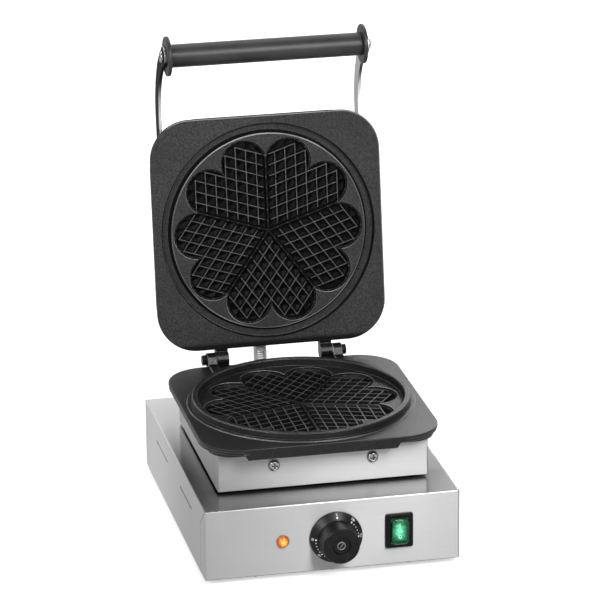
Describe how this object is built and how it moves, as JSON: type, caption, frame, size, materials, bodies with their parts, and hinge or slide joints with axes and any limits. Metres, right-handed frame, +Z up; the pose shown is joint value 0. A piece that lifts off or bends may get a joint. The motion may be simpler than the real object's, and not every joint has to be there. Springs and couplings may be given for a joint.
{
  "type": "heart waffle maker",
  "caption": "Countertop waffle maker with hinged cast plates that bake joined heart waffles, on a stainless box with a heat knob, a lamp and a rocker switch; lid shown open.",
  "frame": {"origin": "middle of the footprint, on the surface that the feet stand on; the footprint runs from the knob's front to the back of the open lid", "axes": "+Z up, -Y towards the user (controls at the front), +X to the user's right"},
  "size_m": [0.26, 0.3862, 0.4804],
  "materials": {
    "stainless": "fine brushed, satin",
    "cast_iron": "cast grain, dark seasoned coat",
    "steel": "zinc plated, bright",
    "black_plastic": "satin black",
    "grip_plastic": "smooth black phenolic",
    "rubber": "matt",
    "amber": "clear amber, lit",
    "green": "clear green, lit",
    "clear_cover": "clear soft cover, smooth",
    "brass": "plain",
    "insulation": "white fibre blanket",
    "ceramic": "unglazed",
    "fibre": "dark fibre board"
  },
  "bodies": {
    "base": {"base_housing": "stainless", "front_panel": "stainless", "rear_panel": "stainless", "bottom_plate": "stainless", "bottom_screws": "steel", "feet": "rubber", "foot_screws": "steel", "foot_nuts": "steel", "thermostat_body": "black_plastic", "thermostat_screws": "steel", "thermostat_bulb": "brass", "pilot_lens": "amber", "pilot_lamp_body": "black_plastic", "pilot_lamp_nut": "steel", "switch_frame": "black_plastic", "switch_body": "black_plastic", "switch_cap": "clear_cover", "terminal_block": "ceramic", "pedestal_housing": "stainless", "pedestal_front": "stainless", "pedestal_spacer": "fibre", "pedestal_screws": "steel", "lower_plate": "cast_iron", "conduit": "steel", "hinge_bolts": "steel", "hinge_washers": "steel", "lower_heater": "steel", "lower_clamp_plate": "steel", "lower_clamp_stud": "steel", "lower_clamp_nut": "steel", "lower_insulation": "insulation", "conduit_gland_base": "steel", "conduit_nut_base": "steel", "cable_gland": "black_plastic", "cable_gland_nut": "steel"},
    "lid": {"upper_plate": "cast_iron", "upper_cover": "stainless", "cover_screws": "steel", "handle_arm_left": "stainless", "handle_arm_right": "stainless", "arm_screws": "steel", "arm_nuts": "steel", "handle_grip": "grip_plastic", "handle_discs": "grip_plastic", "handle_rod": "steel", "handle_screws": "steel", "upper_heater": "steel", "upper_clamp_plate": "steel", "upper_clamp_stud": "steel", "upper_clamp_nut": "steel", "upper_insulation": "insulation", "conduit_gland_lid": "steel", "conduit_nut_lid": "steel"},
    "knob": {"thermostat_shaft": "steel", "control_knob": "black_plastic", "knob_button": "steel"},
    "switch_rocker": {"rocker": "green"}
  },
  "joints": [
    {"name": "lid_hinge", "type": "hinge", "parent": "base", "child": "lid", "pos_m": [0, 0.11103, 0.1353], "axis": [1, 0, 0], "range_deg": [0, 99], "deforming": ["conduit"]},
    {"name": "knob_turn", "type": "hinge", "parent": "base", "child": "knob", "pos_m": [0.003, -0.16607, 0.041], "axis": [0, 1, 0], "range_deg": [0, 318]},
    {"name": "rocker_tilt", "type": "hinge", "parent": "base", "child": "switch_rocker", "pos_m": [0.0675, -0.16357, 0.0421], "axis": [1, 0, 0], "range_deg": [0, 12]}
  ]
}
